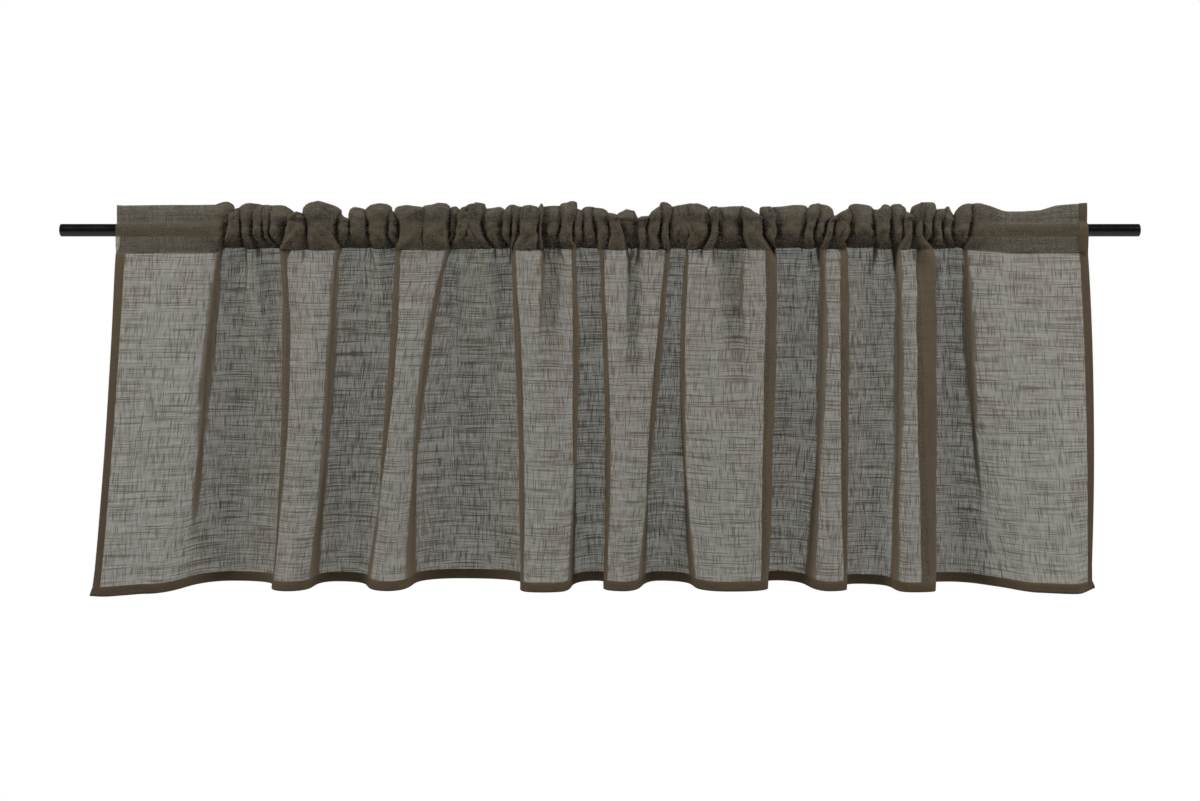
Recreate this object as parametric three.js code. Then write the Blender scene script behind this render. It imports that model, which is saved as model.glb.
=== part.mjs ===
// A window valance gathered on its curtain rod.
// Millimetres, +Z up. The origin is the middle of the rod's axis, and the front faces -Y.

import * as THREE from "three";

// ---- rod ----
const ROD_DIAMETER = 16;
const ROD_LENGTH = 1380;
const ROD_FACETS = 64;
const ROD_EDGE = 0.6;

// ---- cloth ----
const CLOTH_THICKNESS = 1.5;
const SEAM_DROP = 26;
const HEM_DROP = 462;
const HEM_LIFT = 0.09;
const HEM_LEVEL = -40;
const ROD_REST = 0.6;
const POCKET_CLEARANCE = 2;
const POCKET_PUFF = 0.6;
const FRILL_PINCH = 0.05;
const FRILL_SPREAD = 0.75;
const DEPTH_EASE = 0.8;

// ---- mesh steps ----
const PANEL_STEPS = 8;
const FOLD_STEPS = 6;
const RUN_STEPS = 3;

const ROD_RADIUS = ROD_DIAMETER / 2;
const HALF_CLOTH = CLOTH_THICKNESS / 2;
const FRILL_SEAM = ROD_RADIUS + ROD_REST + HALF_CLOTH;

// The cloth's side edges. x is across from the middle of the rod, lay is how far back the cloth
// hangs (negative is forward), both at the heading, half way down and at the hem. top is the
// height of the frill.
const EDGES = {
  left: { xHead: -618, xMid: -625, xHem: -640, layHead: -4, layHem: -66, top: 31 },
  right: { xHead: 625, xMid: 627, xHem: 627, layHead: -4, layHem: -18, top: 33 },
};

// The plain runs between a side edge and its nearest fold: the distance from that fold.
const RUNS = {
  left: { reach: 48, layHead: -6, layHem: -34, top: 31 },
  dip: { reach: 100, layHead: -5, layHem: -36, top: 24 },
  right: { reach: 42, layHead: -8, layHem: -26, top: 32 },
};

// One row for each fold line from left to right. x and lap are at the heading, half way down and
// at the hem: x is where the line stands, and lap is how far the cloth laps over itself there,
// or with a minus how far it takes to pass from front to back. notch is the dip in the frill.
// lay, sit and top are of the stretch to the right of the fold: how far back it hangs at the
// heading and the hem, where between its two folds it lies deepest, and how high its frill is.
const FOLDS = [
  { xHead: -486, xMid: -508, xHem: -524, lapHead: 4, lapMid: 4, lapHem: -36, notch: 6,
    layHead: 10, layHem: 30, sit: 0.45, top: 31 },
  { xHead: -406, xMid: -402, xHem: -419, lapHead: 4, lapMid: 4, lapHem: -6, notch: 16,
    layHead: -20, layHem: -38, sit: 0.5, top: 33 },
  { xHead: -337, xMid: -348, xHem: -365, lapHead: 5, lapMid: 8, lapHem: -10, notch: 18,
    layHead: 9, layHem: 26, sit: 0.36, top: 32 },
  { xHead: -259, xMid: -271, xHem: -296, lapHead: 4, lapMid: 6, lapHem: -14, notch: 13,
    layHead: -18, layHem: -37, sit: 0.5, top: 31 },
  { xHead: -198, xMid: -232, xHem: -240, lapHead: 5, lapMid: 7, lapHem: -12, notch: 8,
    layHead: 11, layHem: 46, sit: 0.42, top: 32 },
  { xHead: -111, xMid: -101, xHem: -100, lapHead: 4, lapMid: 5, lapHem: 2, notch: 10,
    layHead: -21, layHem: -50, sit: 0.45, top: 30 },
  { xHead: -36, xMid: -31, xHem: -37, lapHead: 3, lapMid: 7, lapHem: -8, notch: 9,
    layHead: 6, layHem: 30, sit: 0.7, top: 27 },
  { xHead: 1, xMid: 9, xHem: 7, lapHead: 3, lapMid: 5, lapHem: 3, notch: 11,
    layHead: -18, layHem: -38, sit: 0.5, top: 24 },
  { xHead: 85, xMid: 68, xHem: 53, lapHead: 3, lapMid: 5, lapHem: -10, notch: 8,
    layHead: 6, layHem: 30, sit: 0.35, top: 33 },
  { xHead: 111, xMid: 106, xHem: 120, lapHead: 3, lapMid: 5, lapHem: -10, notch: 7,
    layHead: -20, layHem: -40, sit: 0.5, top: 30 },
  { xHead: 220, xMid: 217, xHem: 210, lapHead: 8, lapMid: 9, lapHem: 5, notch: 15,
    layHead: 11, layHem: 32, sit: 0.35, top: 30 },
  { xHead: 285, xMid: 281, xHem: 266, lapHead: 3, lapMid: 5, lapHem: -12, notch: 7,
    layHead: -14, layHem: -38, sit: 0.5, top: 31 },
  { xHead: 311, xMid: 312, xHem: 311, lapHead: 6, lapMid: 8, lapHem: 1, notch: 15,
    layHead: 10, layHem: 10, sit: 0.35, top: 32 },
  { xHead: 381, xMid: 379, xHem: 372, lapHead: 4, lapMid: 7, lapHem: -8, notch: 6,
    layHead: -16, layHem: -48, sit: 0.45, top: 33 },
  { xHead: 417, xMid: 417, xHem: 418, lapHead: 16, lapMid: 17, lapHem: 8, notch: 16,
    layHead: 9, layHem: 24, sit: 0.4, top: 34 },
  { xHead: 468, xMid: 478, xHem: 500, lapHead: 3, lapMid: -8, lapHem: -50, notch: 16,
    layHead: -8, layHem: -30, sit: 0.5, top: 33 },
];

// The heights at which the heading's rows of points lie, above or below the rod's axis, with how
// far each row has left the seam line for the curve round the rod, and how much lap is left.
const POCKET_ROWS = [
  { height: -17, round: 0.62, lap: 0.8 },
  { height: -8, round: 0.95, lap: 0.6 },
  { height: 0, round: 1, lap: 0.5 },
  { height: 7, round: 0.94, lap: 0 },
];
const FRILL_ROWS = [
  { rise: 0.45, spread: 0.55, lap: 0 },
  { rise: 1, spread: 1, lap: 0.4 },
];
const OPEN_LAP = -14;

const LAYS = [EDGES.left, EDGES.right, ...FOLDS].map((row) => row.layHead);
const FOREMOST = Math.min(...LAYS);
const HINDMOST = Math.max(...LAYS);

const lerp = THREE.MathUtils.lerp;
const ease = (share) => (1 - Math.cos(Math.PI * share)) / 2;

// The smooth line through a value at the heading, half way down and at the hem.
function along(head, mid, hem, drop) {
  const a = head * (1 - drop) * (1 - 2 * drop);
  const b = mid * 4 * drop * (1 - drop);
  const c = hem * drop * (2 * drop - 1);
  return a + b + c;
}

const xAt = (row, drop) => along(row.xHead, row.xMid, row.xHem, drop);
const lapAt = (row, drop) => along(row.lapHead, row.lapMid, row.lapHem, drop);
const layAt = (row, drop) => lerp(row.layHead, row.layHem, drop ** DEPTH_EASE);

// How far half a fold laps over, when the cloth turns back at its middle with this speed.
function halfLap(reach, speed) {
  const swing = reach / Math.PI + speed / 2;
  const turn = Math.acos(reach / (Math.PI * swing));
  return swing * (Math.sin(turn) - turn * Math.cos(turn));
}

// The speed at which the cloth passes a fold's middle: backwards where it laps over itself.
function speedFor(lap, before, after) {
  if (lap <= 0) {
    const slowest = (-2 * Math.min(before, after)) / Math.PI;
    return Math.max((lap * 2) / Math.PI, slowest);
  }
  let low = 0;
  let high = 4 * lap + before + after;
  for (let step = 0; step < 40; step += 1) {
    const speed = (low + high) / 2;
    const lapped = halfLap(before, speed) + halfLap(after, speed);
    if (lapped < lap) {
      low = speed;
    } else {
      high = speed;
    }
  }
  return low;
}

// The deepest or foremost points of the stretches, from the left edge to the right one.
function knotsAt(drop) {
  const first = FOLDS[0];
  const last = FOLDS[FOLDS.length - 1];
  const knot = (x, row) => ({ x, y: layAt(row, drop), top: row.top });
  const knots = [
    knot(xAt(EDGES.left, drop), EDGES.left),
    knot(xAt(first, drop) - RUNS.left.reach, RUNS.left),
  ];
  for (let k = 0; k < FOLDS.length - 1; k += 1) {
    const x = lerp(xAt(FOLDS[k], drop), xAt(FOLDS[k + 1], drop), FOLDS[k].sit);
    knots.push(knot(x, FOLDS[k]));
  }
  knots.push(knot(xAt(last, drop) + RUNS.right.reach, RUNS.right));
  knots.push(knot(xAt(last, drop) + RUNS.dip.reach, RUNS.dip));
  knots.push(knot(xAt(EDGES.right, drop), EDGES.right));
  return knots;
}

// The line of the cloth seen from above, as one point for each column of the mesh. kept is the
// share of each fold's lap that is left, towards an open wave.
function planAt(drop, kept = 1) {
  const knots = knotsAt(drop);
  const plan = [];
  for (let k = 0; k < knots.length - 1; k += 1) {
    const from = knots[k];
    const to = knots[k + 1];
    const fold = FOLDS[k - 1];
    const steps = fold ? FOLD_STEPS : RUN_STEPS;
    for (let step = 0; step < steps; step += 1) {
      const share = step / steps;
      const y = lerp(from.y, to.y, ease(share));
      let x = lerp(from.x, to.x, share);
      let top = lerp(from.top, to.top, ease(share));
      if (fold) {
        const middle = xAt(fold, drop);
        const before = middle - from.x;
        const after = to.x - middle;
        const speed = speedFor(lerp(OPEN_LAP, lapAt(fold, drop), kept), before, after);
        const reach = share < 0.5 ? before : after;
        const swing = reach / Math.PI + speed / 2;
        x = middle + reach * (2 * share - 1) + swing * Math.sin(2 * Math.PI * share);
        top -= fold.notch * Math.sin(Math.PI * share) ** 4;
      }
      plan.push({ x, y, top });
    }
  }
  const end = knots[knots.length - 1];
  plan.push({ x: end.x, y: end.y, top: end.top });
  return plan;
}

// A point of the pocket, kept clear of the rod inside it.
function clearOfRod(point) {
  const least = ROD_RADIUS + POCKET_CLEARANCE + HALF_CLOTH;
  const reach = Math.hypot(point.y, point.z);
  if (reach < least) {
    point.y *= least / reach;
    point.z *= least / reach;
  }
  return point;
}

// The rows of mid-points of one layer from hem to frill: side -1 is the layer that passes in
// front of the rod, and 1 the one behind it.
function layerRows(side) {
  const rows = [];
  for (let step = 0; step <= PANEL_STEPS; step += 1) {
    const drop = 1 - step / PANEL_STEPS;
    rows.push(planAt(drop).map(({ x, y }) => {
      const lift = HEM_LIFT * Math.max(0, y - HEM_LEVEL) * drop;
      return new THREE.Vector3(x, y, -lerp(SEAM_DROP, HEM_DROP, drop) + lift);
    }));
  }
  for (const row of POCKET_ROWS) {
    rows.push(planAt(0, row.lap).map(({ x, y }) => {
      const puff = POCKET_PUFF * (side < 0 ? HINDMOST - y : y - FOREMOST);
      const around = side * (ROD_RADIUS + POCKET_CLEARANCE + HALF_CLOTH + puff);
      const share = (row.height + SEAM_DROP) / (FRILL_SEAM + SEAM_DROP);
      const seam = y * lerp(1, FRILL_PINCH, share);
      return clearOfRod(new THREE.Vector3(x, lerp(seam, around, row.round), row.height));
    }));
  }
  rows.push(planAt(0, 0).map(({ x, y }) => new THREE.Vector3(x, y * FRILL_PINCH, FRILL_SEAM)));
  for (const row of FRILL_ROWS) {
    rows.push(planAt(0, row.lap).map(({ x, y, top }) => {
      const depth = y * lerp(FRILL_PINCH, FRILL_SPREAD, row.spread);
      return new THREE.Vector3(x, depth, lerp(FRILL_SEAM, top, row.rise));
    }));
  }
  return rows;
}

// The rows moved out from the mid-line along the cloth's own normal.
function offsetRows(rows, distance) {
  const along = new THREE.Vector3();
  const up = new THREE.Vector3();
  return rows.map((row, r) => row.map((point, c) => {
    along.subVectors(row[Math.min(c + 1, row.length - 1)], row[Math.max(c - 1, 0)]);
    up.subVectors(rows[Math.min(r + 1, rows.length - 1)][c], rows[Math.max(r - 1, 0)][c]);
    return along.clone().cross(up).normalize().multiplyScalar(distance).add(point);
  }));
}

// One closed solid: an outer skin, the inside of the pocket, and the two side edges.
function clothGeometry() {
  const front = layerRows(-1);
  const back = layerRows(1);
  const outerFront = offsetRows(front, HALF_CLOTH);
  const outerBack = offsetRows(back, -HALF_CLOTH);
  const innerFront = offsetRows(front, -HALF_CLOTH);
  const innerBack = offsetRows(back, HALF_CLOTH);
  const seamRow = PANEL_STEPS;
  const frillRow = seamRow + POCKET_ROWS.length + 1;
  const columns = front[0].length;

  const positions = [];
  const quad = (a, b, c, d) => [a, b, c, a, c, d].forEach((p) => positions.push(p.x, p.y, p.z));
  const triangle = (a, b, c) => [a, b, c].forEach((p) => positions.push(p.x, p.y, p.z));
  const within = (rows, r) => r > seamRow && r < frillRow ? rows : front;
  const pocketPoint = (rows, r, c) => {
    const point = within(rows, r)[r][c].clone();
    point.z += r === seamRow ? HALF_CLOTH : 0;
    point.z -= r === frillRow ? HALF_CLOTH : 0;
    return point;
  };

  const outer = (c) => [
    ...outerFront.map((row) => row[c]),
    ...outerBack.map((row) => row[c]).reverse(),
  ];
  const inner = (c) => {
    const ring = [];
    for (let r = seamRow; r <= frillRow; r += 1) {
      ring.push(pocketPoint(innerFront, r, c));
    }
    for (let r = frillRow - 1; r > seamRow; r -= 1) {
      ring.push(pocketPoint(innerBack, r, c));
    }
    return ring;
  };

  for (let c = 0; c < columns - 1; c += 1) {
    const [here, next] = [outer(c), outer(c + 1)];
    here.forEach((point, i) => {
      const j = (i + 1) % here.length;
      quad(point, next[i], next[j], here[j]);
    });
    const [hole, nextHole] = [inner(c), inner(c + 1)];
    hole.forEach((point, i) => {
      const j = (i + 1) % hole.length;
      quad(point, hole[j], nextHole[j], nextHole[i]);
    });
  }

  // A side edge is closed by strips between the faces of each layer.
  const sideEdge = (c, facing) => {
    const strip = (a, b, d, e) => (facing < 0 ? quad(a, b, d, e) : quad(e, d, b, a));
    const cap = (a, b, d) => (facing < 0 ? triangle(a, b, d) : triangle(d, b, a));
    for (let r = 0; r < front.length - 1; r += 1) {
      const [f, g] = [outerFront[r][c], outerFront[r + 1][c]];
      const [b, d] = [outerBack[r][c], outerBack[r + 1][c]];
      if (r < seamRow || r >= frillRow) {
        strip(f, g, d, b);
      } else {
        strip(f, g, pocketPoint(innerFront, r + 1, c), pocketPoint(innerFront, r, c));
        strip(pocketPoint(innerBack, r, c), pocketPoint(innerBack, r + 1, c), d, b);
      }
    }
    const seam = pocketPoint(innerFront, seamRow, c);
    const frill = pocketPoint(innerFront, frillRow, c);
    cap(outerFront[seamRow][c], seam, outerBack[seamRow][c]);
    cap(outerFront[frillRow][c], outerBack[frillRow][c], frill);
  };
  sideEdge(0, -1);
  sideEdge(columns - 1, 1);

  const geometry = new THREE.BufferGeometry();
  geometry.setAttribute("position", new THREE.Float32BufferAttribute(positions, 3));
  geometry.computeVertexNormals();
  return geometry;
}

// A round bar along X, with a small bevel at each end.
function rodGeometry() {
  const half = ROD_LENGTH / 2;
  const profile = [
    new THREE.Vector2(0, -half),
    new THREE.Vector2(ROD_RADIUS - ROD_EDGE, -half),
    new THREE.Vector2(ROD_RADIUS, -half + ROD_EDGE),
    new THREE.Vector2(ROD_RADIUS, half - ROD_EDGE),
    new THREE.Vector2(ROD_RADIUS - ROD_EDGE, half),
    new THREE.Vector2(0, half),
  ];
  return new THREE.LatheGeometry(profile, ROD_FACETS).rotateZ(-Math.PI / 2);
}

const cloth = new THREE.Mesh(
  clothGeometry(),
  new THREE.MeshStandardMaterial({ color: 0x574e41, roughness: 0.9, metalness: 0 }),
);
cloth.name = "valance_cloth";

const rod = new THREE.Mesh(
  rodGeometry(),
  new THREE.MeshStandardMaterial({ color: 0x1c1c1b, roughness: 0.35, metalness: 0.1 }),
);
rod.name = "curtain_rod";

const valance = new THREE.Group();
valance.add(rod, cloth);

export default valance;
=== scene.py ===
"""A sheer brown window valance gathered on its black curtain rod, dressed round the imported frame.

Metres, +Z up. The origin is the middle of the rod's axis, and the front faces -Y.
"""

import math
from collections import namedtuple

import bpy
import numpy as np
from bpy.props import FloatProperty, FloatVectorProperty, IntProperty, PointerProperty
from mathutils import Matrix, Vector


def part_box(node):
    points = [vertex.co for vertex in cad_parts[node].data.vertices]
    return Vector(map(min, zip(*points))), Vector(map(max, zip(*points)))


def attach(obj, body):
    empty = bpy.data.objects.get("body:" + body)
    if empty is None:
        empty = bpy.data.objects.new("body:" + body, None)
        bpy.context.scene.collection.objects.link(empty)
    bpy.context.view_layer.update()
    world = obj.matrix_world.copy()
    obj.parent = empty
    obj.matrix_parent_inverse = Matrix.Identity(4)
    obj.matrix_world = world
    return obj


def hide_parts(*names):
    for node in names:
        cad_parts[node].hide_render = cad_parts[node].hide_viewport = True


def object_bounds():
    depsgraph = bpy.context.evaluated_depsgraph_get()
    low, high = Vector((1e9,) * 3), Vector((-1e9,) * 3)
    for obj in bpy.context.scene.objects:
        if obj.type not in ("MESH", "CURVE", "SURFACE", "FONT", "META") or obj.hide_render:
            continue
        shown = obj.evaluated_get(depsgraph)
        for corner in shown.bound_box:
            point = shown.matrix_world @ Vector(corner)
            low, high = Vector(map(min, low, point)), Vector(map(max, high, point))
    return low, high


bl_info = {
    "name": "Window Valance",
    "version": (1, 0, 0),
    "blender": (4, 5, 0),
    "location": "View3D > Sidebar > Valance",
    "description": "Makes a sheer valance gathered on a curtain rod, and the studio it is shown in",
    "category": "Add Mesh",
}

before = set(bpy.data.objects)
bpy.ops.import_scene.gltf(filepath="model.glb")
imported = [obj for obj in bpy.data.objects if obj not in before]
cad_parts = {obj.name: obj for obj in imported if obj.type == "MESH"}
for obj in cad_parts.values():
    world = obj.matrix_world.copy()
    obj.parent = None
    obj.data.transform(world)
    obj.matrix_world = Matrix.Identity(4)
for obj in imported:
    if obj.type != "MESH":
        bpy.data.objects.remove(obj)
CAD_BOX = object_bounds()
ROD_LOW, ROD_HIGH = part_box("curtain_rod")
CLOTH_LOW, CLOTH_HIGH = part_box("valance_cloth")
BODY = "root"

# ---- heights of the cloth, from the rod's axis ----
ROD_RADIUS = (ROD_HIGH.z - ROD_LOW.z) / 2
HEM_DROP = -CLOTH_LOW.z
SEAM_DROP = 0.0305          # the heading's lower seam, at the flat ends
PINCH_RISE = 0.0098         # the seam that closes the rod pocket at its top
HEM_LIFT = 0.089            # how much the hem rises for each metre it lies further back
HEM_LEVEL = -0.040
HEM_GATHER = 0.004          # how much shorter the gathers hang than the flat ends
SEAM_LIFT = 0.20            # the same as the hem's lift at the heading's seam, in the gathers
SEAM_LEVEL = -0.034
ROD_CLEARANCE = 0.0013

# ---- the cloth itself ----
HALF_CLOTH = 0.0002
HALF_HEM = 0.0006
BOTTOM_HEM = 0.0120
SIDE_HEM = 0.0085
HEM_STEP = 0.0006
HEM_LAYERS = 5.0
POCKET_LAYERS = 1.00
FRILL_LAYERS = 0.78
GATHERED_POCKET = 0.42      # what the gathers add to the pocket and to the frill
GATHERED_FRILL = 0.20
LAPPED_LAYERS = 1.9
GATHERED_CLOSENESS = 0.10   # how much closer the threads lie in the gathers
PAINTED_BACK_SHADE = 0.13       # painted shade: the cloth is made denser, so darker, in the stretches that hang back
BACK_FROM = -0.012
BACK_RANGE = 0.030
PAINTED_TROUGH_SHADE = 0.30     # painted shade: the cloth is made denser, so darker, in the small pleats that are pressed back
CROWDING = 1.5              # how much closer the threads lie where a pleat turns the cloth edge on
TROUGH_DEPTH = 0.020
STEEP_FROM = 2.0
STEEP_RANGE = 2.0
LEAST_SQUARE = 0.1
LAP_EDGE = 0.001            # how softly the lapped cloth ends, and how far it reaches past its fold
LAP_SPREAD = 0.3
OPEN_LAP = -0.014           # the lap of a fold that is opened out
GATHER_START = 0.6          # in spans, how soon the gathers are at their full depth
CORNER_REACH = 0.018        # how high the hem's stretched corners reach

# ---- how the heading is shaped ----
FULL_HEADING = 0.062        # its usual height, from the seam to the frill's top
POCKET_ROOM = 0.0035        # between the rod and the cloth, in the gathers
SEAM_ROOM = 0.0020
ROUNDING = 0.0060
PINCH_SHARE = 0.84          # how far forward the pocket's top lies, as a share of the puffs
PINCH_PLAIN = 0.0045
FRONT_SHOULDER_RISE = 0.0035
BACK_SHOULDER = 0.0040      # where the cloth comes up behind the rod, on its way over it
BACK_SHOULDER_RISE = 0.0092
FRILL_SHARE = 0.60
FRILL_SPREAD = 0.40
FRILL_WAIST = 0.35
FRILL_BELLY = 0.0040        # how far the frill's two sides stand apart, at its middle and its top
FRILL_TIP = 0.0015
FRILL_CROWN = 0.0010
FLAT_GAP = 0.35
PINCH_GAP = 0.0012
BACK_SEAM_STEP = 0.0016
UNDER_SHARE = 0.80          # how far out the pocket has come under the rod, and how high
UNDER_RISE = 0.62
BELLY_RISE = 0.20
SHOULDER_IN = 0.08
BACK_SWELL = 0.60
FOLD_OPENING = 0.30         # the share of the heading in which the folds open out
ARCH_FLATNESS = 2.3
ARCH_ROUNDNESS = 0.7
DEPTH_EASE = 0.8
CREASE_REACH = 0.0105
CREASE_RUN = 0.0090
CREASE_PULL = 0.95
CREASE_DEPTH = 1.2
CREASE_WIDENS = 0.05
CREASE_AT_PINCH = 0.7       # the share of each crease's depth that is left higher up
CREASE_AT_TIP = 0.6
CREASE_AT_BACK = 0.5
OUTER_GAP = 0.020
LOBE_BULGE = 0.0030
LOBE_SHARE = 0.12
MOST_BULGE = 0.0080
PLEAT_PULL = 0.60
PLEAT_START = 0.04
PLEAT_FADE = 1.1
SHARP_EDGE = 0.0090

# Small uneven waves over the flat cloth. Across, they are between the shortest and the longest,
# and down the cloth about slope times that. size is how far they move the cloth.
Wave = namedtuple("Wave", "seed count shortest longest slope size")
SWAY = Wave(7, 7, 0.050, 0.190, 3.0, 0.0016)
LEAN = Wave(23, 6, 0.060, 0.240, 2.2, 0.0012)
KINK = Wave(31, 6, 0.050, 0.150, 1.0, 0.0015)
POCKET_CRUMPLE = Wave(3, 12, 0.012, 0.050, 1.1, 0.0028)
FRILL_CRUMPLE = POCKET_CRUMPLE._replace(size=0.0040)
PLAIN_SWAY = 0.35
PLAIN_CRUMPLE = 0.10
SWAY_FADE = 0.08            # above the hem
LEAN_FADE = 0.12            # below the heading, as shares of the panel
KINK_START = 0.05
KINK_FADE = 0.35
STOP_HEIGHT = 0.010         # the flat cloth from one stop of the pocket to the next
FRILL_HEIGHT = 0.022

# ---- mesh steps ----
PLAIN_STEP = 0.0060
GATHER_STEP = 0.0023
PANEL_ROWS = 27
POCKET_ROWS = 11
FRILL_ROWS = 7
BACK_POCKET_ROWS = 8
BACK_FRILL_ROWS = 4
FIRST_ROW = 0.12
ROW_CROWDING = 1.35
LENGTH_DROP = 0.6           # how far down the panel the cloth's width is measured
SIDE_HEM_STEPS = (0, 0.3, 0.65, 1, 1)
BOTTOM_HEM_STEPS = (0, 0.25, 0.6, 1, 1)
HEM_END = (0, 0, 0, 0, 1)
HEM_MARGIN = 0.002
OUTLINE_STEP = 0.0005
OUTLINE_REACH = 0.70
OUTLINE_ROUNDING = 9

Edge = namedtuple("Edge", "x_head x_mid x_hem lay_head lay_hem")
LEFT_EDGE = Edge(-0.617, -0.6195, -0.630, -0.009, -0.066)
RIGHT_EDGE = Edge(0.622, 0.628, 0.623, -0.009, -0.018)

# How far the hem's corners are pulled out to the side and up, and over what width.
Corner = namedtuple("Corner", "width aside up")
LEFT_CORNER = Corner(0.010, -0.0030, 0.0015)
RIGHT_CORNER = Corner(0.009, 0.0050, 0.0040)

# The plain runs between a side edge and its nearest fold, as the distance from that fold.
Run = namedtuple("Run", "reach lay_head lay_hem")
LEFT_RUN = Run(0.048, -0.010, -0.034)
DIP_RUN = Run(0.100, -0.009, -0.036)
RIGHT_RUN = Run(0.042, -0.012, -0.026)

# One row for each fold line from left to right. x is where the line stands at the heading's
# seam, half way down and at the hem. lap is how far the cloth laps over itself there, or with a
# minus how far it takes to pass from front to back. lay and sit are of the stretch to the right
# of the fold: how far back it hangs at the heading and the hem, and where between its folds.
Fold = namedtuple("Fold", "x_head x_mid x_hem lap_head lap_mid lap_hem lay_head lay_hem sit")
FOLDS = [
    Fold(-0.486, -0.508, -0.524, .004, .005, -.036, 0.010, 0.030, 0.45),
    Fold(-0.404, -0.402, -0.419, .005, .005, -.006, -0.020, -0.038, 0.50),
    Fold(-0.336, -0.348, -0.366, .003, .006, -.007, 0.009, 0.026, 0.36),
    Fold(-0.258, -0.271, -0.296, .003, .005, -.014, -0.018, -0.037, 0.50),
    Fold(-0.195, -0.232, -0.240, .004, .005, -.009, 0.011, 0.046, 0.42),
    Fold(-0.111, -0.101, -0.100, .004, .006, .002, -0.021, -0.050, 0.45),
    Fold(-0.034, -0.031, -0.037, .003, .006, -.008, 0.006, 0.030, 0.70),
    Fold(0.001, 0.009, 0.007, .003, .006, .003, -0.018, -0.038, 0.50),
    Fold(0.087, 0.068, 0.053, .003, .005, -.010, 0.006, 0.030, 0.35),
    Fold(0.111, 0.106, 0.120, .003, .004, -.010, -0.020, -0.040, 0.50),
    Fold(0.220, 0.217, 0.210, .012, .011, .005, 0.011, 0.032, 0.35),
    Fold(0.285, 0.281, 0.266, .005, .005, -.012, -0.014, -0.038, 0.50),
    Fold(0.311, 0.312, 0.311, .009, .007, .001, 0.010, 0.010, 0.35),
    Fold(0.381, 0.379, 0.372, .004, .006, -.008, -0.016, -0.048, 0.45),
    Fold(0.417, 0.417, 0.418, .020, .018, .008, 0.009, 0.024, 0.40),
    Fold(0.468, 0.478, 0.500, .003, .003, -.050, -0.008, -0.030, 0.50),
]

# The creases that the gathering presses into the cloth, from left to right. x is where a crease
# stands at the heading's seam, at the rod and at the frill's top, press is how deep it is, and lap
# how far its bottom lies under the puff to its right (with a minus, to its left). reach is the
# share of the panel that it runs down before it fades, and stray how far it drifts on the way.
Crease = namedtuple("Crease", "x_head x_rod x_top press lap reach stray")
CREASES = [
    Crease(-0.496, -0.496, -0.496, .000, .000, .02, .000),
    Crease(-0.482, -0.475, -0.469, .013, .002, .02, .000),
    Crease(-0.453, -0.458, -0.459, .011, -.003, .06, .000),
    Crease(-0.443, -0.445, -0.440, .010, .003, .05, .000),
    Crease(-0.429, -0.430, -0.430, .007, .000, .03, .000),
    Crease(-0.421, -0.422, -0.421, .006, .000, .03, .000),
    Crease(-0.408, -0.402, -0.395, .012, .005, .03, .000),
    Crease(-0.372, -0.374, -0.378, .010, .000, .07, .000),
    Crease(-0.333, -0.337, -0.333, .015, .001, .04, .000),
    Crease(-0.317, -0.320, -0.317, .005, .000, .03, .000),
    Crease(-0.296, -0.294, -0.298, .008, -.003, .06, .000),
    Crease(-0.274, -0.271, -0.269, .010, .002, .10, .000),
    Crease(-0.257, -0.257, -0.261, .013, .000, .03, .000),
    Crease(-0.225, -0.225, -0.224, .002, .000, .02, .000),
    Crease(-0.191, -0.192, -0.193, .015, .000, .05, .000),
    Crease(-0.187, -0.185, -0.178, .012, .003, .08, .000),
    Crease(-0.140, -0.151, -0.148, .012, .000, .08, .000),
    Crease(-0.128, -0.127, -0.121, .012, .003, .10, .000),
    Crease(-0.113, -0.113, -0.110, .009, .000, .02, .000),
    Crease(-0.103, -0.103, -0.097, .008, .000, .02, .000),
    Crease(-0.077, -0.079, -0.080, .009, .000, .04, .000),
    Crease(-0.071, -0.072, -0.070, .010, -.003, .06, .000),
    Crease(-0.060, -0.049, -0.049, .008, .000, .04, .000),
    Crease(-0.034, -0.035, -0.031, .011, .000, .02, .000),
    Crease(-0.019, -0.022, -0.022, .009, .000, .03, .000),
    Crease(-0.002, -0.005, -0.008, .011, -.003, .02, .000),
    Crease(0.014, 0.013, 0.009, .007, .000, .10, .000),
    Crease(0.040, 0.028, 0.024, .013, -.003, .10, .000),
    Crease(0.047, 0.047, 0.047, .015, .000, .05, .000),
    Crease(0.058, 0.060, 0.064, .009, .000, .03, .000),
    Crease(0.072, 0.079, 0.078, .013, .000, .03, .000),
    Crease(0.088, 0.087, 0.090, .008, .000, .02, .000),
    Crease(0.133, 0.140, 0.137, .014, .003, .04, .000),
    Crease(0.152, 0.152, 0.151, .009, -.003, .06, .000),
    Crease(0.179, 0.179, 0.180, .012, .003, .08, .000),
    Crease(0.207, 0.209, 0.205, .014, .000, .02, .000),
    Crease(0.229, 0.227, 0.220, .010, -.004, .02, .000),
    Crease(0.252, 0.261, 0.265, .009, .003, .06, .000),
    Crease(0.271, 0.274, 0.280, .012, .000, .10, .000),
    Crease(0.285, 0.288, 0.299, .011, .000, .02, .000),
    Crease(0.297, 0.298, 0.305, .010, .000, .02, .000),
    Crease(0.322, 0.320, 0.320, .014, .000, .08, .002),
    Crease(0.347, 0.348, 0.346, .008, .003, .06, .000),
    Crease(0.370, 0.372, 0.371, .014, .000, .10, .000),
    Crease(0.388, 0.385, 0.388, .006, .000, .02, .000),
    Crease(0.399, 0.401, 0.401, .012, -.003, .16, -.004),
    Crease(0.409, 0.411, 0.408, .007, .000, .02, .000),
    Crease(0.428, 0.424, 0.430, .013, .000, .02, .000),
    Crease(0.443, 0.433, 0.440, .010, .003, .08, .000),
    Crease(0.452, 0.449, 0.456, .008, .000, .02, .000),
    Crease(0.467, 0.474, 0.479, .009, .000, .02, .000),
    Crease(0.493, 0.493, 0.493, .000, .000, .02, .000),
]

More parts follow.
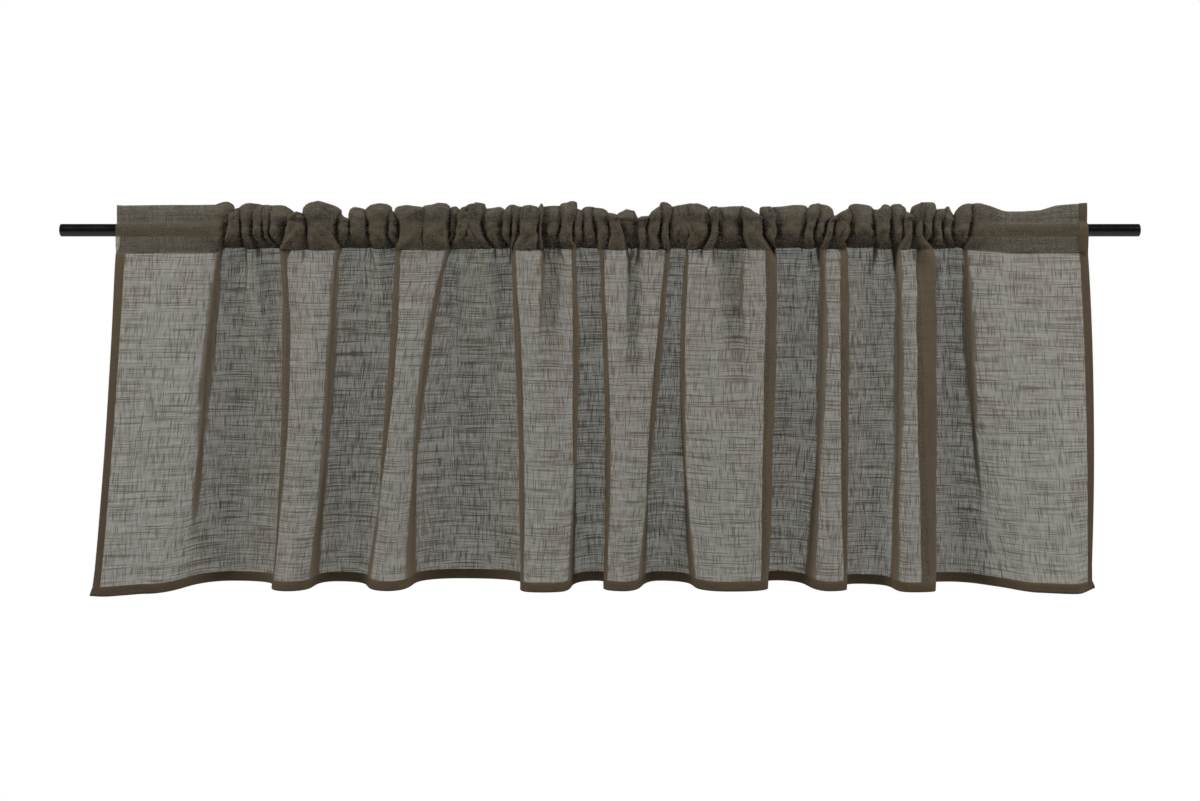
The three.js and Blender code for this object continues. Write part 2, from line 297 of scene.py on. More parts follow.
# The small pleats that start at the heading and fade on their way down. Each is a strip of cloth
# between a left and a right line, moved forward (with a minus, back). The lines are given at the
# heading and where the pleat ends, edge is how wide each line's turn is, and reach the share of
# the panel that the pleat runs down.
Pleat = namedtuple("Pleat", "left left_end right right_end forward edge_left edge_right reach")
PLEATS = [
    Pleat(-0.452, -0.464, -0.440, -0.412, .016, .009, .018, .46),
    Pleat(-0.293, -0.302, -0.276, -0.272, .013, .009, .014, .42),
    Pleat(-0.186, -0.176, -0.130, -0.142, .014, .012, .018, .60),
    Pleat(-0.072, -0.077, -0.048, -0.050, -.020, .009, .024, .52),
    Pleat(0.040, 0.026, 0.050, 0.052, -.018, .008, .012, .58),
    Pleat(0.148, 0.166, 0.178, 0.187, -.020, .018, .010, .54),
    Pleat(0.251, 0.251, 0.267, 0.263, .012, .009, .012, .40),
    Pleat(0.350, 0.350, 0.368, 0.368, .012, .010, .014, .36),
    Pleat(0.434, 0.430, 0.447, 0.437, .010, .007, .010, .52),
]

# The frill's top line, as (x, height) from the left end to the right.
FRILL_TOP = [
    (-0.615, 0.0308), (-0.613, 0.0301), (-0.548, 0.0307), (-0.489, 0.0307), (-0.484, 0.0339),
    (-0.478, 0.0352), (-0.471, 0.0307), (-0.468, 0.0230), (-0.464, 0.0262), (-0.448, 0.0320),
    (-0.438, 0.0326), (-0.433, 0.0307), (-0.405, 0.0302), (-0.399, 0.0243), (-0.395, 0.0198),
    (-0.391, 0.0192), (-0.385, 0.0211), (-0.380, 0.0179), (-0.375, 0.0109), (-0.373, 0.0256),
    (-0.367, 0.0320), (-0.358, 0.0346), (-0.345, 0.0307), (-0.338, 0.0275), (-0.330, 0.0230),
    (-0.325, 0.0141), (-0.321, 0.0128), (-0.318, 0.0154), (-0.315, 0.0269), (-0.309, 0.0275),
    (-0.302, 0.0256), (-0.295, 0.0230), (-0.289, 0.0294), (-0.282, 0.0320), (-0.275, 0.0314),
    (-0.269, 0.0285), (-0.265, 0.0230), (-0.261, 0.0179), (-0.259, 0.0243), (-0.255, 0.0273),
    (-0.246, 0.0294), (-0.236, 0.0275), (-0.225, 0.0256), (-0.215, 0.0294), (-0.204, 0.0320),
    (-0.199, 0.0320), (-0.194, 0.0294), (-0.190, 0.0243), (-0.187, 0.0307), (-0.183, 0.0282),
    (-0.180, 0.0218), (-0.176, 0.0256), (-0.171, 0.0282), (-0.164, 0.0314), (-0.157, 0.0329),
    (-0.148, 0.0320), (-0.143, 0.0256), (-0.136, 0.0262), (-0.129, 0.0282), (-0.125, 0.0243),
    (-0.122, 0.0205), (-0.118, 0.0269), (-0.115, 0.0307), (-0.108, 0.0312), (-0.103, 0.0273),
    (-0.096, 0.0282), (-0.088, 0.0282), (-0.082, 0.0269), (-0.078, 0.0239), (-0.075, 0.0323),
    (-0.071, 0.0285), (-0.061, 0.0288), (-0.051, 0.0294), (-0.045, 0.0320), (-0.038, 0.0346),
    (-0.032, 0.0339), (-0.027, 0.0246), (-0.023, 0.0224), (-0.018, 0.0273), (-0.013, 0.0284),
    (-0.005, 0.0279), (0.003, 0.0243), (0.008, 0.0212), (0.015, 0.0186), (0.023, 0.0154),
    (0.028, 0.0230), (0.034, 0.0250), (0.039, 0.0252), (0.045, 0.0230), (0.046, 0.0115),
    (0.049, 0.0141), (0.053, 0.0154), (0.063, 0.0154), (0.071, 0.0246), (0.078, 0.0329),
    (0.084, 0.0329), (0.091, 0.0273), (0.099, 0.0294), (0.107, 0.0307), (0.116, 0.0315),
    (0.124, 0.0312), (0.132, 0.0262), (0.136, 0.0154), (0.142, 0.0273), (0.149, 0.0282),
    (0.160, 0.0273), (0.168, 0.0284), (0.177, 0.0294), (0.187, 0.0262), (0.199, 0.0179),
    (0.203, 0.0119), (0.207, 0.0273), (0.217, 0.0282), (0.233, 0.0285), (0.245, 0.0301),
    (0.257, 0.0307), (0.265, 0.0243), (0.270, 0.0307), (0.276, 0.0330), (0.284, 0.0317),
    (0.291, 0.0294), (0.295, 0.0250), (0.298, 0.0169), (0.304, 0.0163), (0.308, 0.0197),
    (0.317, 0.0274), (0.324, 0.0320), (0.336, 0.0310), (0.346, 0.0275), (0.355, 0.0230),
    (0.360, 0.0310), (0.367, 0.0294), (0.373, 0.0250), (0.376, 0.0320), (0.381, 0.0310),
    (0.387, 0.0250), (0.392, 0.0205), (0.397, 0.0163), (0.401, 0.0274), (0.406, 0.0320),
    (0.413, 0.0337), (0.423, 0.0330), (0.429, 0.0250), (0.437, 0.0250), (0.442, 0.0294),
    (0.446, 0.0284), (0.449, 0.0169), (0.453, 0.0145), (0.458, 0.0250), (0.462, 0.0294),
    (0.468, 0.0320), (0.479, 0.0330), (0.496, 0.0294), (0.517, 0.0225), (0.538, 0.0225),
    (0.562, 0.0239), (0.583, 0.0302), (0.604, 0.0320), (0.621, 0.0330),
]


# ---------------------------------------------------------------- the shape of the cloth

def lerp(a, b, share):
    return a + (b - a) * share


def ease(share):
    return (1 - np.cos(np.pi * share)) / 2


def smooth(share):
    share = np.clip(share, 0, 1)
    return share * share * (3 - 2 * share)


def arch(share):
    """The round back of a puff, from crease to crease."""
    return (1 - np.abs(2 * np.clip(share, 0, 1) - 1) ** ARCH_FLATNESS) ** ARCH_ROUNDNESS


def along(head, mid, hem, drop):
    """The smooth line through a value at the heading, half way down and at the hem."""
    return (head * (1 - drop) * (1 - 2 * drop) + mid * 4 * drop * (1 - drop)
            + hem * drop * (2 * drop - 1))


def x_at(row, drop):
    return along(row.x_head, row.x_mid, row.x_hem, drop)


def lay_at(row, drop):
    return lerp(row.lay_head, row.lay_hem, drop ** DEPTH_EASE)


def half_lap(reach, speed):
    """How far half a fold laps over, when the cloth turns back at its middle with this speed."""
    swing = reach / math.pi + speed / 2
    turn = math.acos(reach / (math.pi * swing))
    return swing * (math.sin(turn) - turn * math.cos(turn))


def speed_for(lap, before, after):
    """The speed at which the cloth passes a fold's middle: backwards where it laps over."""
    if lap <= 0:
        return max(lap * 2 / math.pi, -2 * min(before, after) / math.pi)
    low, high = 0.0, 4 * lap + before + after
    for _ in range(40):
        speed = (low + high) / 2
        if half_lap(before, speed) + half_lap(after, speed) < lap:
            low = speed
        else:
            high = speed
    return low


def knots_at(drop):
    """(x, y) of the deepest or foremost points of the stretches, from left to right."""
    first, last = FOLDS[0], FOLDS[-1]
    knots = [
        (x_at(LEFT_EDGE, drop), lay_at(LEFT_EDGE, drop)),
        (x_at(first, drop) - LEFT_RUN.reach, lay_at(LEFT_RUN, drop)),
    ]
    for fold, after in zip(FOLDS, FOLDS[1:]):
        knots.append((lerp(x_at(fold, drop), x_at(after, drop), fold.sit), lay_at(fold, drop)))
    for run in (RIGHT_RUN, DIP_RUN):
        knots.append((x_at(last, drop) + run.reach, lay_at(run, drop)))
    knots.append((x_at(RIGHT_EDGE, drop), lay_at(RIGHT_EDGE, drop)))
    return knots


def plan_at(places, drop, kept=1.0):
    """x and y of the cloth seen from above, at places counted in spans.

    kept is the share of each fold's lap that is left, towards an open wave.
    """
    knots = knots_at(drop)
    x, y = np.zeros_like(places), np.zeros_like(places)
    span = np.minimum(places.astype(int), len(knots) - 2)
    for k, (start, end) in enumerate(zip(knots, knots[1:])):
        here = span == k
        share = places[here] - k
        y[here] = lerp(start[1], end[1], ease(share))
        x[here] = lerp(start[0], end[0], share)
        if 1 <= k <= len(FOLDS):
            fold = FOLDS[k - 1]
            middle = x_at(fold, drop)
            before, after = middle - start[0], end[0] - middle
            lap = along(fold.lap_head, fold.lap_mid, fold.lap_hem, drop)
            speed = speed_for(lerp(OPEN_LAP, lap, kept), before, after)
            reach = np.where(share < 0.5, before, after)
            swing = reach / math.pi + speed / 2
            x[here] = middle + reach * (2 * share - 1) + swing * np.sin(2 * np.pi * share)
    return x, y


def columns():
    """The places of the mesh's columns, in spans, and how far along the flat cloth each lies."""
    spans = len(FOLDS) + 4 - 1
    fine = np.linspace(0, spans, spans * 80 + 1)
    x, y = plan_at(fine, LENGTH_DROP)
    lengths = np.concatenate([[0], np.cumsum(np.hypot(np.diff(x), np.diff(y)))])
    width = lengths[-1]
    step = lerp(PLAIN_STEP, GATHER_STEP, gathered_share(fine))
    count = np.concatenate([[0], np.cumsum(np.diff(lengths) / step[1:])])
    edge = np.array(SIDE_HEM_STEPS) * SIDE_HEM + np.array(HEM_END) * HEM_STEP
    inner = np.interp(np.arange(1, int(count[-1])), count, lengths)
    margin = edge[-1] + HEM_MARGIN
    inner = inner[(inner > margin) & (inner < width - margin)]
    flat = np.concatenate([edge, inner, width - edge[::-1]])
    return np.interp(flat, lengths, fine), flat


class Gathers:
    """The creases and puffs, for columns that stand at open_x before they are pressed in."""

    def __init__(self, open_x):
        self.open_x = open_x
        self.at = np.array([row.x_head for row in CREASES])
        gaps = np.diff(self.at, prepend=self.at[0] - OUTER_GAP,
                       append=self.at[-1] + OUTER_GAP) / 2
        self.left = np.minimum(gaps[:-1], CREASE_REACH)
        self.right = np.minimum(gaps[1:], CREASE_REACH)
        span = np.clip(np.searchsorted(self.at, open_x) - 1, 0, len(CREASES) - 2)
        self.span = span
        self.share = np.clip((open_x - self.at[span]) / np.diff(self.at)[span], 0, 1)
        self.outside = (open_x < self.at[0]) | (open_x > self.at[-1])

    def press(self, x, y, drop=0.0):
        """Presses the creases in, at a share of the way down the panel."""
        x, y = x.copy(), y.copy()
        for row, left, right in zip(CREASES, self.left, self.right):
            fade = smooth(1 - drop / row.reach)
            if fade <= 0 or row.press <= 0:
                continue
            off = self.open_x - row.x_head - row.stray * drop / row.reach
            width = lerp(np.where(off < 0, left, right), CREASE_RUN,
                         smooth(drop / CREASE_WIDENS))
            share = off / width
            near = np.abs(share) < 1
            back = (1 + np.cos(np.pi * share[near])) / 2
            pull = CREASE_PULL * width[near] / np.pi * np.sin(np.pi * share[near])
            x[near] += fade * (row.lap * back - pull)
            y[near] += fade * CREASE_DEPTH * row.press * back
        return x, y

    def lean(self, x, level):
        """Moves the columns with their creases, from the seam (0) to the frill's top (1)."""
        shift = along(0, 1, 0, level) * np.array([row.x_rod - row.x_head for row in CREASES])
        shift += along(0, 0, 1, level) * np.array([row.x_top - row.x_head for row in CREASES])
        return x + np.interp(self.open_x, self.at, shift)

    def puffed(self, low, high):
        """A value that is low in each crease and high on the puff to its right."""
        base = lerp(low[self.span], low[self.span + 1], self.share)
        return base + (high[self.span] - base) * arch(self.share)

    def swell(self):
        """How far each puff stands out between its creases."""
        most = np.minimum(LOBE_BULGE + LOBE_SHARE * np.diff(self.at, append=self.at[-1]),
                          MOST_BULGE)
        swell = self.puffed(np.zeros(len(CREASES)), most)
        return np.where(self.outside, 0, swell)


def frill_top(x):
    """The height of the frill's top line over places x, with its corners rounded."""
    fine = np.arange(-OUTLINE_REACH, OUTLINE_REACH, OUTLINE_STEP)
    height = np.interp(fine, *zip(*FRILL_TOP))
    round_off = np.hanning(OUTLINE_ROUNDING)
    return np.interp(x, fine, np.convolve(height, round_off / round_off.sum(), "same"))


def pleated(x, drop):
    """How far aside and back the small pleats move the cloth, a share of the way down the panel."""
    aside, back = np.zeros_like(x), np.zeros_like(x)
    for row in PLEATS:
        share = drop / row.reach
        if share >= 1:
            continue
        fade = smooth(PLEAT_FADE * (1 - share))
        left = (x - lerp(row.left, row.left_end, share)) / row.edge_left
        right = (lerp(row.right, row.right_end, share) - x) / row.edge_right
        back -= row.forward * fade * smooth(left + 0.5) * smooth(right + 0.5)
        for off, edge in ((left, row.edge_left), (-right, row.edge_right)):
            pull = PLEAT_PULL * fade * smooth(drop / PLEAT_START) * min(SHARP_EDGE / edge, 1) ** 2
            wave = np.sin(2 * np.pi * np.clip(off, -0.5, 0.5))
            aside -= pull * edge / (2 * np.pi) * wave
    return aside, back


class Ripples:
    """The waves of a row of the table above, the same ones each time."""

    def __init__(self, wave):
        rng = np.random.default_rng(wave.seed)
        self.size = wave.size
        self.across = rng.uniform(wave.shortest, wave.longest, wave.count)
        self.down = self.across * rng.uniform(wave.slope * 0.5, wave.slope * 1.5, wave.count)
        self.phase = rng.uniform(0, 2 * np.pi, (2, wave.count))

    def __call__(self, flat, height):
        total = 0
        for a, d, p, q in zip(self.across, self.down, *self.phase):
            total = total + np.sin(2 * np.pi * flat / a + p) * np.sin(2 * np.pi * height / d + q)
        return self.size * total / math.sqrt(len(self.across))


def gathered_share(places):
    """0 on the plain runs at the ends and 1 in the gathers."""
    last = len(FOLDS) + 1
    first = smooth((places - 1) / GATHER_START)
    return first * smooth((last + 0.2 - places) / GATHER_START)


def clear_of_rod(side, y, z):
    """Points of the pocket, pushed out of the rod towards the side on which they pass it."""
    least = ROD_RADIUS + ROD_CLEARANCE
    skin = np.sqrt(np.maximum(least ** 2 - z ** 2, 0))
    return np.where(skin > 0, side * np.maximum(side * y, skin), y)


def lapped(x, drop):
    """1 where a fold lays the cloth over itself and 0 elsewhere."""
    share = np.zeros_like(x)
    for fold in FOLDS:
        half = along(fold.lap_head, fold.lap_mid, fold.lap_hem, drop) / 2
        if half > 0:
            inside = half - np.abs(x - x_at(fold, drop))
            share = np.maximum(share, smooth(inside / LAP_EDGE + LAP_SPREAD))
    return share


def squareness(points):
    """How squarely the cloth faces the front along a row of points: 1 squarely, 0 edge on."""
    across = np.gradient(points[:, :2], axis=0)
    return np.abs(across[:, 0]) / np.maximum(np.linalg.norm(across, axis=1), 1e-9)


def hem_height(y, gathered):
    return -HEM_DROP + HEM_LIFT * np.maximum(0, y - HEM_LEVEL) + HEM_GATHER * gathered


def seam_height(y, gathered):
    return -SEAM_DROP + gathered * SEAM_LIFT * (y - SEAM_LEVEL)


def panel_rows(places, flat, gathered):
    """The rows from the hem up to the heading's seam: height on the flat cloth, points, and how many
    thicknesses of cloth lie there, with painted shade where it hangs back.
    """
    length = HEM_DROP - SEAM_DROP
    hem = np.array(BOTTOM_HEM_STEPS) * BOTTOM_HEM + np.array(HEM_END) * HEM_STEP
    steps = 1 - (1 - np.linspace(0, 1, PANEL_ROWS)) ** ROW_CROWDING
    heights = np.concatenate([hem, lerp(hem[-1], length, steps)[1:]])
    sway, lean, kink = Ripples(SWAY), Ripples(LEAN), Ripples(KINK)
    open_x, _ = plan_at(places, 0, 0.0)
    gathers = Gathers(open_x)
    rows = []
    for height in heights:
        drop = 1 - height / length
        x, y = plan_at(places, drop)
        aside, back = pleated(x, drop)
        close = 1 + GATHERED_CLOSENESS * gathered
        # Painted shade: the stretches that hang back and the pleats pressed back are given closer
        # threads, so they read darker.
        close += PAINTED_BACK_SHADE * smooth((y - BACK_FROM) / BACK_RANGE)
        close += PAINTED_TROUGH_SHADE * np.clip(back / TROUGH_DEPTH, 0, 1)
        layers_and_shade = lerp(close, LAPPED_LAYERS, lapped(x, drop))
        x, y = x + aside, y + back
        y = y + sway(flat, height) * smooth(height / SWAY_FADE) * lerp(PLAIN_SWAY, 1, gathered)
        x = x + lean(flat, height) * gathered * smooth(drop / LEAN_FADE)
        kinked = smooth(drop / KINK_START) * math.exp(-drop / KINK_FADE)
        x = x + kink(flat, height) * gathered * kinked
        x, y = gathers.press(x, y, drop)
        z = lerp(seam_height(y, gathered), hem_height(y, gathered), drop)
        for corner, off in ((LEFT_CORNER, flat), (RIGHT_CORNER, flat[-1] - flat)):
            near = np.exp(-(off / corner.width) ** 2) * smooth(1 - height / CORNER_REACH)
            x = x + corner.aside * near
            z = z + corner.up * near
        points = np.stack([x, y, z], 1)
        # Where the cloth turns edge on, its density rises, and the material paints it a lighter
        # colour there: painted light.
        turned = 1 / np.maximum(squareness(points), LEAST_SQUARE)
        steep = smooth((turned - STEEP_FROM) / STEEP_RANGE)
        rows.append((height, points, layers_and_shade + CROWDING * steep))
    return rows


def through(stops, place):
    """The point at a place, counted in stops, on a smooth curve through the stops."""
    k = min(int(place), len(stops) - 2)
    share = place - k
    before, start, end, after = (stops[min(max(i, 0), len(stops) - 1)] for i in range(k - 1, k + 3))
    leave, arrive = (end - before) / 2, (after - start) / 2
    return (start + leave * share + (3 * (end - start) - 2 * leave - arrive) * share ** 2
            + (2 * (start - end) + leave + arrive) * share ** 3)


def heading_rows(places, flat, gathered, base):
    """The rows from the seam over the frill's top and down behind the rod to the seam again."""
    pocket = PINCH_RISE + SEAM_DROP
    pocket_crumple, frill_crumple = Ripples(POCKET_CRUMPLE), Ripples(FRILL_CRUMPLE)
    open_x, lay = plan_at(places, 0, 0.0)
    lay = lay + pleated(open_x, 0)[1]
    folded_x, _ = plan_at(places, 0)
    gathers = Gathers(open_x)
    swell = gathers.swell() * gathered
    soft = lerp(PLAIN_CRUMPLE, 1, gathered)
    top = frill_top(gathers.lean(open_x, 1.0))
    _, creased = gathers.press(open_x, lay)
    crease = creased - lay
    z_seam = seam_height(creased, gathered)

    def out_to(side):
        """How far out the pocket stands in front of the rod (side -1) or behind it (1)."""
        swollen = swell * (1 if side < 0 else BACK_SWELL)
        past_rod = ROD_RADIUS + ROD_CLEARANCE + HALF_CLOTH + POCKET_ROOM * gathered + swollen
        past_seam = side * lay + SEAM_ROOM + swollen / 2
        return (past_rod + past_seam + np.hypot(past_rod - past_seam, ROUNDING * gathered)) / 2

    pinch = lerp(PINCH_PLAIN, PINCH_SHARE * out_to(-1), gathered)
    pinch = CREASE_AT_PINCH * crease - pinch
    tip = lerp(PINCH_PLAIN, FRILL_SHARE * out_to(-1) - FRILL_SPREAD * lay, gathered)
    tip = CREASE_AT_TIP * crease - tip

    def stops(side):
        """(y, z) at the seam, under the rod, beside it twice, over it, half up the frill, on top."""
        belly = side * out_to(side) + crease
        if side < 0:
            shoulder, rise = lerp(belly, crease, SHOULDER_IN), FRONT_SHOULDER_RISE
        else:
            shoulder, rise = BACK_SHOULDER + CREASE_AT_BACK * crease, BACK_SHOULDER_RISE
        depths = [creased, lerp(creased, belly, UNDER_SHARE), belly, shoulder, pinch,
                  lerp(pinch, tip, 0.5) - FRILL_WAIST * swell, tip]
        heights = [z_seam, UNDER_RISE * z_seam, BELLY_RISE * z_seam, rise + 0 * lay,
                   PINCH_RISE + 0 * lay, lerp(PINCH_RISE, top, 0.5), top]
        return [np.stack(stop) for stop in zip(depths, heights)]

    def row_at(side, place):
        over = np.clip((place - 4) / 2, 0, 1)
        y, z = through(stops(side), place)
        level = place / 4 * pocket if place < 4 else lerp(pocket, FULL_HEADING, over)
        level /= FULL_HEADING
        x = lerp(folded_x, open_x, smooth(level / FOLD_OPENING))
        x, _ = gathers.press(gathers.lean(x, level), lay)
        waist = np.sin(np.pi * min(place / 4, 1))
        y = y + side * pocket_crumple(flat, base + place * STOP_HEIGHT) * waist * soft
        y = y + frill_crumple(flat, base + pocket + over * FRILL_HEIGHT) * over * gathered
        y = clear_of_rod(side, y, z)
        gap = PINCH_GAP + FRILL_BELLY * math.sin(math.pi * over) + FRILL_TIP * over
        gap = gap * lerp(FLAT_GAP, 1, gathered) * smooth(place - 3)
        across, deep = np.gradient(x), np.gradient(y)
        size = np.maximum(np.hypot(across, deep), 1e-6)
        return np.stack([x - side * deep / size * gap / 2, y + side * across / size * gap / 2, z], 1)

    rows = []
    close = POCKET_LAYERS + GATHERED_POCKET * gathered
    loose = FRILL_LAYERS + GATHERED_FRILL * gathered
    for i in (FIRST_ROW, *range(1, POCKET_ROWS + 1)):
        share = i / POCKET_ROWS
        rows.append((base + share * pocket, row_at(-1, share * 4), close))
    frill = float(top.mean()) - PINCH_RISE
    for i in range(1, FRILL_ROWS + 1):
        share = i / FRILL_ROWS
        rows.append((base + pocket + share * frill, row_at(-1, 4 + share * 2),
                     lerp(close, loose, share)))
    over = base + pocket + frill
    apex = (row_at(-1, 6) + row_at(1, 6)) / 2
    apex[:, 2] += FRILL_CROWN
    rows.append((over + 0.001, apex, loose))
    for i in range(BACK_FRILL_ROWS, -1, -1):
        share = i / BACK_FRILL_ROWS
        rows.append((over + 0.002 + (1 - share) * frill, row_at(1, 4 + share * 2), loose))
    for i in range(BACK_POCKET_ROWS - 1, -1, -1):
        share = i / BACK_POCKET_ROWS
        row = row_at(1, share * 4)
        row[:, 1] += BACK_SEAM_STEP * (1 - share) ** 4
        rows.append((over + 0.002 + frill + (1 - share) * pocket, row, close))
    return rows


def cloth_grid():
    """Points of the cloth's mid-surface, their place on the flat cloth, and how many thicknesses of
    cloth lie there, with painted shade where it hangs back.
    """
    places, flat = columns()
    gathered = gathered_share(places)
    rows = panel_rows(places, flat, gathered)
    rows += heading_rows(places, flat, gathered, rows[-1][0])
    heights, points, layers_and_shade = (np.array(part) for part in zip(*rows))
    from_side = np.minimum(flat, flat[-1] - flat)
    in_panel = heights[:, None] < HEM_DROP - SEAM_DROP + 1e-6
    turned_in = (flat <= SIDE_HEM + 1e-6) & ~in_panel
    hemmed = (from_side[None, :] <= SIDE_HEM + 1e-6) & ~turned_in
    hemmed = hemmed | (heights[:, None] <= BOTTOM_HEM + 1e-6)
    return points, flat, heights, hemmed, np.where(hemmed, HEM_LAYERS, layers_and_shade)


def grid_normals(points):
    across = np.gradient(points, axis=1)
    up = np.gradient(points, axis=0)
    normals = np.cross(across, up)
    return normals / np.maximum(np.linalg.norm(normals, axis=2, keepdims=True), 1e-12)


def sheet_mesh(name, points, flat, heights, hemmed, layers_and_shade):
    """One closed thin sheet round a grid of mid-surface points, with the flat cloth as its UV map."""
    rows, cols, _ = points.shape
    normals = grid_normals(points)
    half = np.where(hemmed, HALF_HEM, HALF_CLOTH)[:, :, None]
    verts = np.concatenate([
        (points + normals * half).reshape(-1, 3),
        (points - normals * half).reshape(-1, 3),
    ])
    index = np.arange(rows * cols).reshape(rows, cols)
    a, b, c, d = index[:-1, :-1], index[:-1, 1:], index[1:, 1:], index[1:, :-1]
    front = np.stack([a, b, c, d], -1).reshape(-1, 4)
    back = np.stack([d, c, b, a], -1).reshape(-1, 4) + rows * cols
    rim = np.concatenate([index[0, :], index[1:, -1], index[-1, -2::-1], index[-2:0:-1, 0]])
    after = np.roll(rim, -1)
    side = np.stack([after, rim, rim + rows * cols, after + rows * cols], -1)
    faces = np.concatenate([front, back, side])

    mesh = bpy.data.meshes.new(name)
    mesh.vertices.add(len(verts))
    mesh.vertices.foreach_set("co", verts.astype(np.float32).ravel())
    mesh.loops.add(faces.size)
    mesh.loops.foreach_set("vertex_index", faces.astype(np.int32).ravel())
    mesh.polygons.add(len(faces))
    mesh.polygons.foreach_set("loop_start", np.arange(0, faces.size, 4, dtype=np.int32))
    mesh.update(calc_edges=True)
    mesh.polygons.foreach_set("use_smooth", np.ones(len(faces), bool))

    place = np.stack(np.broadcast_arrays(flat[None, :], heights[:, None]), -1).reshape(-1, 2)
    place = np.concatenate([place, place])
    uv = mesh.uv_layers.new(name="cloth")
    uv.uv.foreach_set("vector", place[faces.ravel()].astype(np.float32).ravel())
    count = mesh.attributes.new("layers_and_shade", "FLOAT", "POINT")
    count.data.foreach_set("value", np.tile(layers_and_shade.ravel(), 2).astype(np.float32))
    mesh.validate()
    return mesh


# ---------------------------------------------------------------- materials

WEFT_BOW = (0.10, 0.13, 0.0060)      # how wide and tall the threads' bows are, and how deep
WARP_BOW = (0.09, 0.16, 0.0050)
THREAD_STRIDE = 7.31        # how far apart two neighbouring threads read the noise
WARP_LENGTH = 0.022         # along a thread, from one change of thickness to the next
WEFT_LENGTH = 0.048
WARP_SLUB_LENGTH = 0.018
WEFT_SLUB_LENGTH = 0.052
SLUB_FROM = 0.50
SLUB_TO = 0.80
MEAN_DENSITY = 0.84
LEAST_DENSITY = 0.05
TURNED_FROM = 1.4           # in layers
TURNED_TO = 2.3
TURNED_EVENNESS = 0.6
THREAD_DARK = 0.62
THREAD_LIGHT = 1.38

class Nodes:
    """Short calls for building a node tree."""

    def __init__(self, tree):
        self.tree = tree

    def new(self, kind, **settings):
        node = self.tree.nodes.new(kind)
        for key, value in settings.items():
            setattr(node, key, value)
        return node

    def link(self, source, socket):
        if isinstance(source, (int, float, tuple)):
            socket.default_value = source
        else:
            self.tree.links.new(source, socket)

    def math(self, operation, *values, clamp=False):
        node = self.new("ShaderNodeMath", operation=operation, use_clamp=clamp)
        for value, socket in zip(values, node.inputs):
            self.link(value, socket)
        return node.outputs[0]

    def ramp(self, value, low, high, to_low=0.0, to_high=1.0, smoothly=True):
        kind = "SMOOTHSTEP" if smoothly else "LINEAR"
        node = self.new("ShaderNodeMapRange", interpolation_type=kind)
        for source, name in ((value, "Value"), (low, "From Min"), (high, "From Max"),
                             (to_low, "To Min"), (to_high, "To Max")):
            self.link(source, node.inputs[name])
        return node.outputs[0]

    def noise(self, x, y, z=0.0, detail=0.0):
        spot = self.new("ShaderNodeCombineXYZ")
        for value, socket in zip((x, y, z), spot.inputs):
            self.link(value, socket)
        node = self.new("ShaderNodeTexNoise", noise_dimensions="3D")
        node.inputs["Scale"].default_value = 1.0
        node.inputs["Detail"].default_value = detail
        self.link(spot.outputs[0], node.inputs["Vector"])
        return node.outputs[0]


def slub_weave():
    """Node group: a plain slub weave over a flat cloth's UV map in metres."""
    name = "slub weave"
    if name in bpy.data.node_groups:
        return bpy.data.node_groups[name]
    tree = bpy.data.node_groups.new(name, "ShaderNodeTree")
    face = tree.interface
    face.new_socket("Cloth", in_out="INPUT", socket_type="NodeSocketVector")
    for label, value in (("Thread Pitch", 0.0010), ("Slub Pitch", 0.0009),
                         ("Unevenness", 1.0), ("Slubs", 1.0)):
        socket = face.new_socket(label, in_out="INPUT", socket_type="NodeSocketFloat")
        socket.default_value = value
    for label in ("Density", "Tone", "Height"):
        face.new_socket(label, in_out="OUTPUT", socket_type="NodeSocketFloat")
    n = Nodes(tree)
    given = n.new("NodeGroupInput").outputs
    made = n.new("NodeGroupOutput").inputs
    split = n.new("ShaderNodeSeparateXYZ")
    n.link(given["Cloth"], split.inputs[0])
    u, v = split.outputs[0], split.outputs[1]

    def bowed(value, bow, seed):
        """A place on the cloth, moved in wide soft bows."""
        wide, tall, deep = bow
        wave = n.noise(n.math("DIVIDE", u, wide), n.math("DIVIDE", v, tall), seed)
        return n.math("MULTIPLY_ADD", n.math("SUBTRACT", wave, 0.5), deep, value)

    v = bowed(v, WEFT_BOW, 0.0)
    u = bowed(u, WARP_BOW, 9.0)

    def threads(across, down, pitch, length, seed):
        """A value for each thread that changes slowly along it."""
        index = n.math("FLOOR", n.math("DIVIDE", across, pitch))
        stride = n.math("MULTIPLY", index, THREAD_STRIDE)
        return n.noise(stride, n.math("DIVIDE", down, length), seed)

    pitch, slub_pitch = given["Thread Pitch"], given["Slub Pitch"]
    warp = n.math("SUBTRACT", threads(u, v, pitch, WARP_LENGTH, 3.0), 0.5)
    weft = n.math("SUBTRACT", threads(v, u, pitch, WEFT_LENGTH, 17.0), 0.5)
    fine = n.math("MULTIPLY", n.math("MULTIPLY_ADD", warp, 0.8, weft), 1.25)
    fine = n.math("MAXIMUM", fine, n.math("MULTIPLY", fine, 0.5))
    warp_slub = n.ramp(threads(u, v, slub_pitch, WARP_SLUB_LENGTH, 29.0), SLUB_FROM, SLUB_TO)
    weft_slub = n.ramp(threads(v, u, slub_pitch, WEFT_SLUB_LENGTH, 41.0), SLUB_FROM, SLUB_TO)
    slub = n.math("ADD", warp_slub, weft_slub)
    density = n.math("MULTIPLY_ADD", fine, given["Unevenness"], MEAN_DENSITY)
    density = n.math("MULTIPLY_ADD", slub, given["Slubs"], density)
    n.link(n.math("MAXIMUM", density, LEAST_DENSITY), made["Density"])
    n.link(n.math("MULTIPLY_ADD", fine, 0.5, 0.5, clamp=True), made["Tone"])
    n.link(n.math("ADD", fine, slub), made["Height"])
    return tree


def new_material(name):
    material = bpy.data.materials.new(name)
    material.use_nodes = True
    n = Nodes(material.node_tree)
    surface = next(x for x in n.tree.nodes if x.type == "BSDF_PRINCIPLED")
    return material, n, surface


